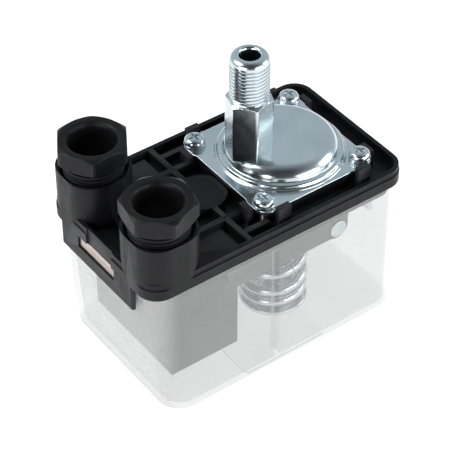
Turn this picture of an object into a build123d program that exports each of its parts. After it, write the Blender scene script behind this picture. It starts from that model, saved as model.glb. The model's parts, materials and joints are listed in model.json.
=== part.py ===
from build123d import *
import math
import os

# Pressure switch for a water pump or an air compressor, standing on its clear cover.
# Millimetres. Origin: centre of the footprint, on the face that the cover rests on.
# +Z points along the pressure nipple, +X away from the two cable glands.

# ---------------------------------------------------------------- driving sizes
# black moulded base
BASE_L = 103.6
BASE_W = 59.2
BASE_CORNER_R = 7.3
RIM_BOTTOM_Z = 53.7          # underside of the rim, where the cover butts
RIM_HEIGHT = 6.3
RIM_WALL = 1.9
RIM_STEP_H = 2.4             # upper band of the rim, set in a little
RIM_STEP_IN = 0.35
DECK_DEPTH = 3.6             # from the rim's top down to the pocket floors
SKIRT_HEIGHT = 4.5           # locating skirt inside the cover
SKIRT_WALL = 1.6
SKIRT_GAP = 0.4
RIB_W = 2.0
RIB_LOW = 0.8                # secondary ribs and the inner pad stop this far below the rim
CROSS_RIB_SPACE = 9.9        # from the flange seat to the rib that crosses the deck
LONG_RIB_Y = 14.8
SHORT_RIB_Y = 23.0
HUB_R = 8.6
PANEL_H = 1.7
PANEL_GROOVE = 2.2
END_RECESS = 0.9             # end wall between the bosses, set back by this

# tongue of the base outside the cover's gland end, with a notch for the latch strip
FLAP_T = 1.8
FLAP_Y0 = -18.0
FLAP_Y1 = 21.5
FLAP_DROP = 10.4
FLAP_CHAMFER = 0.9
NOTCH_Y0 = -8.5
NOTCH_Y1 = 12.0
NOTCH_DEPTH = 4.6
CLIP_T = 0.6
CLIP_GAP = 0.3

# clear cover
COVER_WALL = 1.8
COVER_FLOOR = 2.0
COVER_PAD = 0.9              # raised resting pad on the closed face
COVER_GAP = 0.1              # between the open edge and the rim
COVER_TOP_R = 8.0
COVER_FOOT_R = 9.0
COVER_EDGE_R = 2.0
COVER_SIDE_IN = 0.3          # open edge of the long walls, in from the base
COVER_FAR_IN = 0.9           # open edge of the plain end wall, in from the base
COVER_SPLAY = 2.0            # each long wall leans out by this towards the foot
COVER_END_TAPER = 3.9        # the gland end wall leans in by this
COVER_FAR_TAPER = 0.6
COVER_RIB_X = -1.6
COVER_RIB_W = 2.0
COVER_RIB_D = 1.0
FLAP_GAP = 0.3               # between the flap and the cover
PAD_X0 = -14.0
PAD_X1 = 20.0
PAD_R = 2.0

# cable glands
BOSS_WALL = 1.25             # beside the gland's well
BOSS_R = 8.6
BOSS_HEIGHT = 13.6           # above the rim's top
GLAND_SHANK_R = 10.0
GLAND_CLEAR = 0.05
GLAND_HOLE_R = 7.65          # cable hole through the screw
SEAL_HOLE_R = 7.0            # and through ring, seal and base
GLAND_LEAD_IN = 0.9
GLAND_HEX_OVER = 1.0         # flats of the hexagon stand out from the shank by this
GLAND_HEX_H = 6.6
GLAND_STAND = 10.9           # top of the gland screw above the boss
GLAND_SHANK_L = 15.0
GLAND_RING_T = 1.2
GLAND_WELL_FLOOR = 2.4       # thickness left under the seal
COLLAR_R = 1.3               # dished collar round the mouth of the well
COLLAR_DEPTH = 1.4
NEAR_NUT_NORMAL = 50.0       # bearing of one flat of the hexagon, degrees from +X
FAR_NUT_NORMAL = 27.6

# steel flange with its domed pressure chamber
FLANGE_SIZE = 47.0
FLANGE_FAR_SPACE = 8.9       # from the flange to the plain end of the base
FLANGE_T = 1.5
FLANGE_STAND = 2.2           # top of the flange above the rim
FLANGE_CORNER_R = 6.2
SCREW_IN_X = 3.7             # screws, in from the flange's edges
SCREW_IN_Y = 4.5
SCREW_R = 2.0
SCREW_CLEAR = 0.25
SCREW_HEAD_R = 3.8
SCREW_HEAD_H = 2.4
SCREW_REACH = 2.0            # thread that shows below the frame
LOCK_WASHER_T = 1.0
WASHER_SPLIT = 0.6
DOME_OFFSET = 1.5            # dome from the flange's centre, towards the plain end
DOME_H = 6.4
DOME_RING = 4.9              # foot radius less flat-top radius
DOME_SHOULDER = 1.9
DOME_BEAD_IN = 1.7
DOME_SCREW_GAP = 0.48        # foot ring to the screw heads
DOME_WALL = 1.5

# pressure nipple
NIPPLE_EDGE_IN = 4.1         # nipple's axis, in from the edge of the dome's flat top
NIPPLE_THREAD_R = 6.58       # G 1/4
NIPPLE_THREAD_L = 16.8
NIPPLE_HEX_OVER = 0.42       # flats of the hexagon stand out from the thread by this
NIPPLE_HEX_H = 21.8
NIPPLE_BORE_R = 3.25
NIPPLE_NORMAL = 42.6
NIPPLE_CHAMFER = 1.0
SPIGOT_R = 5.0

# lugs that locate the flange
LUG_W = 5.0
LUG_T = 2.2
LUG_OFFSET = 16.4
LUG_STAND = 1.9              # above the flange
SIDE_LUG_STAND = 0.3
LUG_GAP = 0.35
SEAT_IN = 1.5                # the seat is smaller than the flange by this on each side
SEAT_R = 4.0

# diaphragm and piston
DIAPHRAGM_IN = 1.1           # diaphragm, in from the dome's foot
DIAPHRAGM_T = 1.2
DIAPHRAGM_GAP = 0.1
PISTON_IN = 6.0              # piston, in from the diaphragm's edge
PISTON_T = 2.4
PISTON_STEM_R = 5.0
PISTON_CLEAR = 0.06
PISTON_TIP_GAP = 0.12
WELL_CLEAR = 0.5

# pressed steel frame and lever
FRAME_T = 1.5
FRAME_TAIL = 9.6             # from the flange's screws to the frame's end towards the glands
FRAME_END_SPACE = 8.8        # from the frame's other end to the plain end of the base
FRAME_SIDE_SPACE = 6.4       # from the frame to the long sides of the base
FRAME_R = 3.0
PIVOT_OFFSET = 5.1           # pivot from the dome's axis, towards the plain end
PIVOT_DROP = 11.2            # below the rim
PIN_R = 2.0
PIN_CLEAR = 0.05
PIN_HEAD_R = 3.2
PIN_HEAD_T = 0.9
PIN_END = 1.6                # pin length beyond the lever at the clip's end
CLIP_GROOVE = 0.3            # from the lever's face to the pin's groove
RETAINER_T = 0.6
LEVER_T = 1.5
LEVER_DROP = 5.2             # top of the web below the rim
LEVER_H = 10.0
LEVER_NOSE_OVER = 1.4        # lever's end beyond the carrier's axis
LEVER_NOSE_R = 5.0
LEVER_END_R = 4.6
EAR_GAP = 0.3

# pressure-setting spring
RANGE_OFFSET = 10.9          # spring from the dome's axis, towards the glands
RANGE_SIDE_GAP = 0.5         # coil to the lever's flank
RANGE_COIL_R = 9.9           # centre line of the coil
RANGE_WIRE_R = 1.8
RANGE_TURNS = 4.5
RANGE_STUD_R = 3.0
RANGE_FLOOR_GAP = 4.5        # from the stud's end to the cover's floor
RANGE_SEAT_T = 1.6
RANGE_NUT_H = 3.2
RANGE_NUT_AF = 10.0

# differential spring
DIFF_SIDE_GAP = 4.5          # coil to the lever's other flank
DIFF_COIL_R = 5.2
DIFF_WIRE_R = 0.8
DIFF_TURNS = 6.0
DIFF_STUD_R = 2.0
DIFF_SPACE = 20.5
DIFF_SEAT_T = 1.2
DIFF_NUT_H = 2.6
DIFF_NUT_AF = 7.0

NUT_CLEAR = 0.05             # nut or seat on its stud
STUD_HOLE_CLEAR = 1.6        # stud in the lever
STUD_END = 0.9               # stud beyond its nut
SPRING_GAP = 0.2

# contact block
BLOCK_L = 27.1
BLOCK_SPRING_GAP = 11.0      # from the block to the large spring
BLOCK_Y = 22.0
BLOCK_FLOOR_GAP = 7.2        # from the block to the cover's floor
BLOCK_SHOULDER_DROP = 11.0   # shoulder below the rim
BLOCK_TOP_DROP = 2.8
BLOCK_TOP_IN_X0 = 7.3
BLOCK_TOP_IN_X1 = 9.3
BLOCK_COLUMN_Y = 4.8
BLOCK_SCREW_R = 1.6
BLOCK_SCREW_HEAD_R = 3.0
BLOCK_SCREW_HEAD_H = 1.8
BLOCK_SCREW_IN = 2.0         # screws, in from the ends of the block's top

# contacts: each pole has two terminals and a bridge
POLE_Y = 13.5
TERMINAL_DY = 4.2
TERMINAL_IN = 5.2            # terminal screws, in from the block's end
TERMINAL_SCREW_R = 1.5
TERMINAL_HEAD_R = 2.9
TERMINAL_HEAD_H = 2.0
TERMINAL_WELL_R = 3.3
TERMINAL_FOOT_H = 9.4        # strip's foot above the block's lower face
CLAMP_SIZE = 5.4
CLAMP_T = 1.0
CLAMP_OPEN = 2.0             # room for a wire between clamp and strip
WIRE_SLOT_W = 4.4
STRIP_T = 1.0
STRIP_W = 4.0
FIXED_DROP = 8.2             # underside of the strip in the chamber, below the shoulder
STRIP_CARRIER_GAP = 1.2
RIVET_R = 1.4
RIVET_H = 1.0
BRIDGE_REACH = 3.4           # bridge beyond the carrier's face
BRIDGE_T = 1.2
BRIDGE_HALF = 6.4
CONTACT_GAP = 0.05
CHAMBER_GAP = 0.8
CHAMBER_DROP = 4.2           # top of the chamber below the shoulder
CHAMBER_H = 11.0
CHAMBER_HALF = 7.3

# contact carrier
CARRIER_IN = 4.9             # carrier's axis, in from the block's end
CARRIER_L = 5.2
CARRIER_HALF = 20.0
CARRIER_FOOT_DROP = 18.2     # carrier's foot below the shoulder
CARRIER_SHOULDER = 0.3
CARRIER_STUB_R = 2.4
CARRIER_CLEAR = 0.1
CARRIER_TIP_GAP = 0.2
CARRIER_SLOT_FLOOR = 3.4     # block's thickness under the return springs
RETURN_COIL_R = 1.6
RETURN_WIRE_R = 0.3
RETURN_PITCH = 1.714
RETURN_POCKET = 2.0

# earth terminal
EARTH_Y = -16.5
EARTH_DROP = 7.2
EARTH_TAB = 6.0
EARTH_SCREW_R = 1.9
EARTH_HEAD_R = 3.4
EARTH_HEAD_H = 2.0
EARTH_CLAMP_T = 1.0
EARTH_CLAMP_SIZE = 9.0

OVER = 1.0                   # how far a cutting tool runs past a face

# ---------------------------------------------------------------- derived places
RIM_TOP_Z = RIM_BOTTOM_Z + RIM_HEIGHT
DECK_TOP_Z = RIM_TOP_Z - DECK_DEPTH
PAD_TOP_Z = RIM_TOP_Z - RIB_LOW
BOSS_TOP_Z = RIM_TOP_Z + BOSS_HEIGHT
SKIRT_BOTTOM_Z = RIM_BOTTOM_Z - SKIRT_HEIGHT
END_X = -BASE_L / 2
FLAP_INSIDE_X = END_X + FLAP_T

COVER_TOP_Z = RIM_BOTTOM_Z - COVER_GAP
COVER_INSIDE_Z = COVER_PAD + COVER_FLOOR
COVER_X0_TOP = FLAP_INSIDE_X + FLAP_GAP
COVER_X0_FOOT = COVER_X0_TOP + COVER_END_TAPER
COVER_X1_TOP = BASE_L / 2 - COVER_FAR_IN
COVER_X1_FOOT = COVER_X1_TOP - COVER_FAR_TAPER
COVER_Y_TOP = BASE_W / 2 - COVER_SIDE_IN
COVER_Y_FOOT = COVER_Y_TOP + COVER_SPLAY

GLAND_BORE_R = GLAND_SHANK_R + GLAND_CLEAR
BOSS_W = 2 * (GLAND_BORE_R + BOSS_WALL)
GLAND_X = END_X + BOSS_W / 2
GLAND_Y = BASE_W / 2 - BOSS_W / 2
GLAND_HEX_AF = 2 * (GLAND_SHANK_R + GLAND_HEX_OVER)
GLAND_TOP_Z = BOSS_TOP_Z + GLAND_STAND
GLAND_HEX_Z = GLAND_TOP_Z - GLAND_HEX_H
GLAND_SHANK_Z = GLAND_HEX_Z - GLAND_SHANK_L
SEAL_TOP_Z = GLAND_SHANK_Z - GLAND_RING_T
WELL_FLOOR_Z = RIM_BOTTOM_Z + GLAND_WELL_FLOOR

FLANGE_X = BASE_L / 2 - FLANGE_FAR_SPACE - FLANGE_SIZE / 2
FLANGE_TOP_Z = RIM_TOP_Z + FLANGE_STAND
PLATE_BOTTOM_Z = FLANGE_TOP_Z - FLANGE_T
FLANGE_SCREWS = [
    (FLANGE_X + sx * (FLANGE_SIZE / 2 - SCREW_IN_X), sy * (FLANGE_SIZE / 2 - SCREW_IN_Y))
    for sx in (-1, 1) for sy in (-1, 1)
]
SEAT_X0 = FLANGE_X - FLANGE_SIZE / 2 + SEAT_IN
SEAT_X1 = FLANGE_X + FLANGE_SIZE / 2 - SEAT_IN
SEAT_Y = FLANGE_SIZE / 2 - SEAT_IN
SEAT_TOP_Z = PLATE_BOTTOM_Z - DIAPHRAGM_T
CROSS_RIB_X = SEAT_X0 - CROSS_RIB_SPACE
LUG_TOP_Z = FLANGE_TOP_Z + LUG_STAND
SIDE_LUG_TOP_Z = FLANGE_TOP_Z + SIDE_LUG_STAND
DOME_X = FLANGE_X + DOME_OFFSET
DOME_TOP_Z = FLANGE_TOP_Z + DOME_H
SCREW_FROM_DOME = math.hypot(
    FLANGE_SIZE / 2 - SCREW_IN_X - DOME_OFFSET, FLANGE_SIZE / 2 - SCREW_IN_Y,
)
DOME_FOOT_R = SCREW_FROM_DOME - SCREW_HEAD_R - DOME_SCREW_GAP
DOME_BEAD_R = DOME_FOOT_R - DOME_BEAD_IN
DOME_TOP_R = DOME_FOOT_R - DOME_RING
DIAPHRAGM_R = DOME_FOOT_R - DIAPHRAGM_IN
PISTON_R = DIAPHRAGM_R - PISTON_IN
NIPPLE_X = DOME_X - DOME_TOP_R + NIPPLE_EDGE_IN
NIPPLE_HEX_AF = 2 * (NIPPLE_THREAD_R + NIPPLE_HEX_OVER)
NIPPLE_HEX_TOP_Z = DOME_TOP_Z + NIPPLE_HEX_H
NIPPLE_TIP_Z = NIPPLE_HEX_TOP_Z + NIPPLE_THREAD_L

FRAME_X0 = FLANGE_X - FLANGE_SIZE / 2 + SCREW_IN_X - FRAME_TAIL
FRAME_X1 = BASE_L / 2 - FRAME_END_SPACE
FRAME_Y = BASE_W / 2 - FRAME_SIDE_SPACE
FRAME_TOP_Z = RIM_BOTTOM_Z
FRAME_BOTTOM_Z = FRAME_TOP_Z - FRAME_T
EARTH_Z = RIM_BOTTOM_Z - EARTH_DROP
PIVOT_X = DOME_X + PIVOT_OFFSET
PIVOT_Z = RIM_BOTTOM_Z - PIVOT_DROP
LEVER_TOP_Z = RIM_BOTTOM_Z - LEVER_DROP
LEVER_BOTTOM_Z = LEVER_TOP_Z - LEVER_H
LEVER_WEB_Z = LEVER_TOP_Z - LEVER_T
LEVER_Y = FRAME_Y + EAR_GAP + LEVER_T
RANGE_X = DOME_X - RANGE_OFFSET
RANGE_Y = -(LEVER_Y - LEVER_T - RANGE_SIDE_GAP - RANGE_COIL_R - RANGE_WIRE_R)
RANGE_STUD_END_Z = COVER_INSIDE_Z + RANGE_FLOOR_GAP
RANGE_SEAT_Z = RANGE_STUD_END_Z + STUD_END + RANGE_NUT_H + RANGE_SEAT_T
DIFF_X = RANGE_X
DIFF_Y = LEVER_Y - LEVER_T - DIFF_SIDE_GAP - DIFF_COIL_R - DIFF_WIRE_R
DIFF_SEAT_Z = LEVER_WEB_Z - DIFF_SPACE

BLOCK_X1 = RANGE_X - RANGE_COIL_R - RANGE_WIRE_R - BLOCK_SPRING_GAP
BLOCK_X0 = BLOCK_X1 - BLOCK_L
BLOCK_SHOULDER_Z = RIM_BOTTOM_Z - BLOCK_SHOULDER_DROP
BLOCK_Z0 = COVER_INSIDE_Z + BLOCK_FLOOR_GAP
BLOCK_TOP_Z = RIM_BOTTOM_Z - BLOCK_TOP_DROP
BLOCK_TOP_X0 = BLOCK_X0 + BLOCK_TOP_IN_X0
BLOCK_TOP_X1 = BLOCK_X1 - BLOCK_TOP_IN_X1
BLOCK_SCREW_X = (BLOCK_TOP_X0 + BLOCK_SCREW_IN, BLOCK_TOP_X1 - BLOCK_SCREW_IN)
POLES = (-POLE_Y, POLE_Y)
TERMINALS = [pole + side * TERMINAL_DY for pole in POLES for side in (-1, 1)]
TERMINAL_X = BLOCK_X0 + TERMINAL_IN
TERMINAL_FOOT_Z = BLOCK_Z0 + TERMINAL_FOOT_H
CARRIER_X = BLOCK_X1 - CARRIER_IN
CARRIER_X0 = CARRIER_X - CARRIER_L / 2
CARRIER_X1 = CARRIER_X + CARRIER_L / 2
CARRIER_Z0 = BLOCK_SHOULDER_Z - CARRIER_FOOT_DROP
CARRIER_TOP_Z = BLOCK_SHOULDER_Z - CARRIER_SHOULDER
CARRIER_SLOT_Z = BLOCK_Z0 + CARRIER_SLOT_FLOOR
LEVER_X0 = CARRIER_X - LEVER_NOSE_OVER
FIXED_Z = BLOCK_SHOULDER_Z - FIXED_DROP
STRIP_END_X = CARRIER_X0 - STRIP_CARRIER_GAP
RIVET_X = STRIP_END_X - RIVET_R
BRIDGE_X0 = CARRIER_X0 - BRIDGE_REACH
BRIDGE_TOP_Z = FIXED_Z - 2 * RIVET_H - CONTACT_GAP
CHAMBER_X0 = BRIDGE_X0 - CHAMBER_GAP
CHAMBER_Z1 = BLOCK_SHOULDER_Z - CHAMBER_DROP
CHAMBER_Z0 = CHAMBER_Z1 - CHAMBER_H


# ---------------------------------------------------------------- small helpers
def block(x0, x1, y0, y1, z0, z1):
    """A box from its six faces; each pair may come in either order."""
    low = (min(x0, x1), min(y0, y1), min(z0, z1))
    return Pos(*low) * Box(abs(x1 - x0), abs(y1 - y0), abs(z1 - z0), align=(Align.MIN,) * 3)


def rod(x, y, z0, z1, r):
    """A vertical cylinder."""
    return Pos(x, y, z0) * Cylinder(r, z1 - z0, align=(Align.CENTER, Align.CENTER, Align.MIN))


def x_rod(x0, x1, y, z, r):
    """A cylinder along X."""
    return Pos((x0 + x1) / 2, y, z) * Rot(0, 90, 0) * Cylinder(r, abs(x1 - x0))


def y_rod(x, z, y0, y1, r):
    """A cylinder along Y."""
    return Pos(x, (y0 + y1) / 2, z) * Rot(90, 0, 0) * Cylinder(r, abs(y1 - y0))


def rounded_block(x0, x1, y0, y1, z0, z1, r):
    """A box with rounded vertical edges."""
    outline = Pos((x0 + x1) / 2, (y0 + y1) / 2, z0) * RectangleRounded(x1 - x0, y1 - y0, r)
    return extrude(outline, z1 - z0)


def turned(x, y, z, points):
    """A solid of revolution about a vertical axis, from (radius, height) points."""
    face = make_face(Polyline(*[(r, 0, h) for r, h in points], close=True))
    return Pos(x, y, z) * revolve(face, Axis.Z)


def hexagon(x, y, z0, z1, across_flats, normal=90.0, cut_top=True, cut_bottom=False):
    """A vertical hexagonal prism, one flat facing the bearing, its corners turned off."""
    outline = RegularPolygon(across_flats / 2, 6, major_radius=False)
    prism = Pos(x, y, z0) * Rot(0, 0, normal - 90) * extrude(outline, z1 - z0)
    flat_r = across_flats / 2
    wide_r = flat_r / math.cos(math.radians(30)) + 0.5
    drop = (wide_r - flat_r) * math.tan(math.radians(30))
    h = z1 - z0
    points = [(0, 0)]
    points += [(flat_r, 0), (wide_r, drop)] if cut_bottom else [(wide_r, 0)]
    points += [(wide_r, h - drop), (flat_r, h)] if cut_top else [(wide_r, h)]
    points += [(0, h)]
    return prism & turned(x, y, z0, points)


def lofted_box(foot, top, z_foot, z_top):
    """A box whose plan changes from foot to top; a plan is (x0, x1, half width, corner radius)."""
    plans = []
    for (x0, x1, half, r), z in ((foot, z_foot), (top, z_top)):
        plans.append(Pos((x0 + x1) / 2, 0, z) * RectangleRounded(x1 - x0, 2 * half, r))
    return loft(Sketch() + plans)


def coil(x, y, z0, z1, coil_r, wire_r, turns):
    """A compression spring, as one swept wire."""
    height = z1 - z0 - 2 * wire_r
    path = Helix(height / turns, height, coil_r)
    wire = Plane(origin=path @ 0, z_dir=path % 0) * Circle(wire_r)
    return Pos(x, y, z0 + wire_r) * sweep(wire, path=path)


def pan_screw(x, y, seat_z, end_z, shank_r, head_r, head_h):
    """A cross-head pan screw that points down, its head's underside at seat_z."""
    profile = [
        (0, 0), (head_r, 0), (head_r, head_h * 0.45),
        (head_r * 0.9, head_h * 0.75), (head_r * 0.62, head_h), (0, head_h),
    ]
    screw = turned(x, y, seat_z, profile) + rod(x, y, end_z, seat_z + head_h / 2, shank_r)
    top = seat_z + head_h
    reach = head_r * 0.6
    half = head_r * 0.11
    screw -= block(x - reach, x + reach, y - half, y + half, top - head_h * 0.45, top + OVER)
    screw -= block(x - half, x + half, y - reach, y + reach, top - head_h * 0.45, top + OVER)
    return screw


def group(parts):
    """Separate solids that share one node."""
    return Compound(children=[solid for part in parts for solid in part.solids()])


# ---------------------------------------------------------------- base
def base_housing():
    """Black moulded base: rim, ribbed deck, gland bosses, flange seat, lugs and end flap."""
    half_l = BASE_L / 2
    half_w = BASE_W / 2
    band_z = RIM_TOP_Z - RIM_STEP_H
    body = rounded_block(-half_l, half_l, -half_w, half_w, RIM_BOTTOM_Z, band_z, BASE_CORNER_R)
    step = RIM_STEP_IN
    body += rounded_block(
        -half_l + step, half_l - step, -half_w + step, half_w - step,
        band_z, RIM_TOP_Z, BASE_CORNER_R - step,
    )
    wall = RIM_WALL
    body -= rounded_block(
        -half_l + wall, half_l - wall, -half_w + wall, half_w - wall,
        DECK_TOP_Z, RIM_TOP_Z + OVER, BASE_CORNER_R - wall,
    )
    inner_boss_y = BASE_W / 2 - BOSS_W
    body -= block(
        END_X - OVER, END_X + END_RECESS, -inner_boss_y, inner_boss_y,
        RIM_BOTTOM_Z - OVER, RIM_TOP_Z + OVER,
    )
    body += locating_skirt() + deck_ribs() + gland_bosses() + flange_seat() + end_flap()
    for y in (-GLAND_Y, GLAND_Y):
        body -= rod(GLAND_X, y, WELL_FLOOR_Z, BOSS_TOP_Z + OVER, GLAND_BORE_R)
        body -= rod(GLAND_X, y, SKIRT_BOTTOM_Z - OVER, WELL_FLOOR_Z, SEAL_HOLE_R)
        wide = GLAND_BORE_R + COLLAR_R
        collar = [(0, OVER), (wide, OVER), (wide, 0), (GLAND_BORE_R, -COLLAR_DEPTH), (0, -COLLAR_DEPTH)]
        body -= turned(GLAND_X, y, BOSS_TOP_Z, collar)
    body -= rod(DOME_X, 0, RIM_BOTTOM_Z - OVER, SEAT_TOP_Z + OVER, PISTON_R + WELL_CLEAR)
    for x, y in FLANGE_SCREWS:
        body -= rod(x, y, RIM_BOTTOM_Z - OVER, LUG_TOP_Z + OVER, SCREW_R + SCREW_CLEAR)
    for x in BLOCK_SCREW_X:
        body -= rod(x, 0, RIM_BOTTOM_Z - OVER, RIM_TOP_Z + OVER, BLOCK_SCREW_R + SCREW_CLEAR)
    return body


def locating_skirt():
    """Thin wall under the deck that centres the cover."""
    gap = COVER_WALL + SKIRT_GAP
    lean = SKIRT_HEIGHT / (COVER_TOP_Z - COVER_PAD)
    x0 = COVER_X0_TOP + gap + lean * COVER_END_TAPER
    x1 = COVER_X1_TOP - gap - lean * COVER_FAR_TAPER
    y = COVER_Y_TOP - gap
    r = COVER_TOP_R - gap
    t = SKIRT_WALL
    ring = rounded_block(x0, x1, -y, y, SKIRT_BOTTOM_Z, RIM_BOTTOM_Z, r)
    return ring - rounded_block(x0 + t, x1 - t, -y + t, y - t, SKIRT_BOTTOM_Z - OVER, RIM_BOTTOM_Z, r - t)


def deck_ribs():
    """Ribs level with the rim, and a round hub between the bosses and the flange seat."""
    half_w = BASE_W / 2 - RIM_WALL
    half_rib = RIB_W / 2
    rib_x0 = GLAND_X
    hub_x = CROSS_RIB_X + half_rib
    ribs = block(
        CROSS_RIB_X - half_rib, CROSS_RIB_X + half_rib, -half_w, half_w, DECK_TOP_Z, RIM_TOP_Z,
    )
    for side in (-1, 1):
        y = side * LONG_RIB_Y
        ribs += block(rib_x0, SEAT_X0 + OVER, y - half_rib, y + half_rib, DECK_TOP_Z, RIM_TOP_Z)
        y = side * SHORT_RIB_Y
        ribs += block(CROSS_RIB_X, SEAT_X0 + OVER, y - half_rib, y + half_rib, DECK_TOP_Z, PAD_TOP_Z)
        # shallow panels beyond the long ribs leave a groove along the cross rib
        y_in = side * (LONG_RIB_Y + half_rib)
        y_out = side * (half_w - half_rib)
        panel_x1 = CROSS_RIB_X - half_rib - PANEL_GROOVE
        ribs += block(rib_x0, panel_x1, y_in, y_out, DECK_TOP_Z, DECK_TOP_Z + PANEL_H)
    ribs += rod(hub_x, 0, DECK_TOP_Z, RIM_TOP_Z, HUB_R)
    # raised pad that the contact block's screws sit on
    pad_y = BASE_W / 2 - BOSS_W
    ribs += block(rib_x0, hub_x, -pad_y, pad_y, DECK_TOP_Z, PAD_TOP_Z)
    return ribs


def flange_seat():
    """Raised seat under the steel flange, with locating lugs around it."""
    seat = rounded_block(SEAT_X0, SEAT_X1, -SEAT_Y, SEAT_Y, DECK_TOP_Z, PLATE_BOTTOM_Z, SEAT_R)
    seat -= rod(DOME_X, 0, SEAT_TOP_Z, PLATE_BOTTOM_Z + OVER, DIAPHRAGM_R + DIAPHRAGM_GAP)
    near = FLANGE_SIZE / 2 + LUG_GAP
    far = near + LUG_T
    half = LUG_W / 2
    for side in (-1, 1):
        for along in (-LUG_OFFSET, LUG_OFFSET):
            x = FLANGE_X + along
            seat += block(x - half, x + half, side * near, side * far, DECK_TOP_Z, LUG_TOP_Z)
            x_near = FLANGE_X + side * near
            x_far = FLANGE_X + side * far
            seat += block(x_near, x_far, along - half, along + half, DECK_TOP_Z, SIDE_LUG_TOP_Z)
    return seat


def gland_bosses():
    """Two square bosses with large corner radii, flush with the end and the sides."""
    x1 = END_X + BOSS_W
    half_w = BASE_W / 2
    far = rounded_block(END_X, x1, half_w - BOSS_W, half_w, RIM_BOTTOM_Z, BOSS_TOP_Z, BOSS_R)
    near = rounded_block(END_X, x1, -half_w, BOSS_W - half_w, RIM_BOTTOM_Z, BOSS_TOP_Z, BOSS_R)
    return far + near


def end_flap():
    """Tongue of the end wall that hangs outside the cover, notched for the latch strip."""
    z0 = RIM_BOTTOM_Z - FLAP_DROP
    flap = block(END_X, FLAP_INSIDE_X, FLAP_Y0, FLAP_Y1, z0, RIM_BOTTOM_Z + OVER)
    lower_edges = flap.edges().filter_by(Axis.Y).group_by(Axis.Z)[0]
    flap = chamfer(lower_edges.sort_by(Axis.X)[:1], FLAP_CHAMFER)
    notch_z = RIM_BOTTOM_Z - NOTCH_DEPTH
    notch_top = RIM_BOTTOM_Z + 2 * OVER
    return flap - block(END_X - OVER, FLAP_INSIDE_X + OVER, NOTCH_Y0, NOTCH_Y1, notch_z, notch_top)


# ---------------------------------------------------------------- cover
def clear_cover():
    """Translucent cover: an open box with slightly leaning walls and a pad to rest on."""
    w = COVER_WALL
    foot = (COVER_X0_FOOT, COVER_X1_FOOT, COVER_Y_FOOT, COVER_FOOT_R)
    top = (COVER_X0_TOP, COVER_X1_TOP, COVER_Y_TOP, COVER_TOP_R)
    outer = lofted_box(foot, top, COVER_PAD, COVER_TOP_Z)
    outer = fillet(outer.edges().group_by(Axis.Z)[0], COVER_EDGE_R)
    foot = (COVER_X0_FOOT + w, COVER_X1_FOOT - w, COVER_Y_FOOT - w, COVER_FOOT_R - w)
    top = (COVER_X0_TOP + w, COVER_X1_TOP - w, COVER_Y_TOP - w, COVER_TOP_R - w)
    cover = outer - lofted_box(foot, top, COVER_INSIDE_Z, COVER_TOP_Z)
    # a rib inside each long wall, stopping below the base's skirt
    for side in (-1, 1):
        y_in = side * (COVER_Y_TOP - w - COVER_RIB_D)
        y_out = side * COVER_Y_FOOT
        half = COVER_RIB_W / 2
        rib_top = SKIRT_BOTTOM_Z - SKIRT_GAP
        rib = block(COVER_RIB_X - half, COVER_RIB_X + half, y_in, y_out, COVER_PAD, rib_top)
        cover += rib & outer
    pad_y = COVER_Y_FOOT - COVER_EDGE_R - 0.6
    return cover + rounded_block(PAD_X0, PAD_X1, -pad_y, pad_y, 0, COVER_INSIDE_Z - OVER, PAD_R)


def cover_clip():
    """Folded steel latch strip in the notch of the end flap."""
    x0 = END_X + (FLAP_T - CLIP_T) / 2
    z0 = RIM_BOTTOM_Z - NOTCH_DEPTH + CLIP_GAP
    strip = block(x0, x0 + CLIP_T, NOTCH_Y0 + CLIP_GAP, NOTCH_Y1 - CLIP_GAP, z0, RIM_BOTTOM_Z)
    fold_z = (z0 + RIM_BOTTOM_Z) / 2
    groove = CLIP_T / 2
    return strip - block(x0 - OVER, x0 + groove, NOTCH_Y0, NOTCH_Y1 - 5, fold_z, fold_z + groove)


# ---------------------------------------------------------------- cable glands
def gland_screw(y, normal):
    """Hollow hexagonal gland screw."""
    body = hexagon(GLAND_X, y, GLAND_HEX_Z, GLAND_TOP_Z, GLAND_HEX_AF, normal)
    body += rod(GLAND_X, y, GLAND_SHANK_Z, GLAND_HEX_Z + OVER, GLAND_SHANK_R)
    body -= rod(GLAND_X, y, GLAND_SHANK_Z - OVER, GLAND_TOP_Z + OVER, GLAND_HOLE_R)
    wide = GLAND_HOLE_R + GLAND_LEAD_IN
    lead = [(0, OVER), (wide, OVER), (wide, 0), (GLAND_HOLE_R, -GLAND_LEAD_IN), (0, -GLAND_LEAD_IN)]
    return body - turned(GLAND_X, y, GLAND_TOP_Z, lead)


def gland_ring(y):
    """Pressure ring between the gland screw and its seal."""
    ring = rod(GLAND_X, y, SEAL_TOP_Z, GLAND_SHANK_Z, GLAND_SHANK_R)
    return ring - rod(GLAND_X, y, SEAL_TOP_Z - OVER, GLAND_SHANK_Z + OVER, SEAL_HOLE_R)


def gland_seal(y):
    """Rubber sleeve that closes on the cable."""
    seal = rod(GLAND_X, y, WELL_FLOOR_Z, SEAL_TOP_Z, GLAND_SHANK_R)
    return seal - rod(GLAND_X, y, WELL_FLOOR_Z - OVER, SEAL_TOP_Z + OVER, SEAL_HOLE_R)


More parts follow.
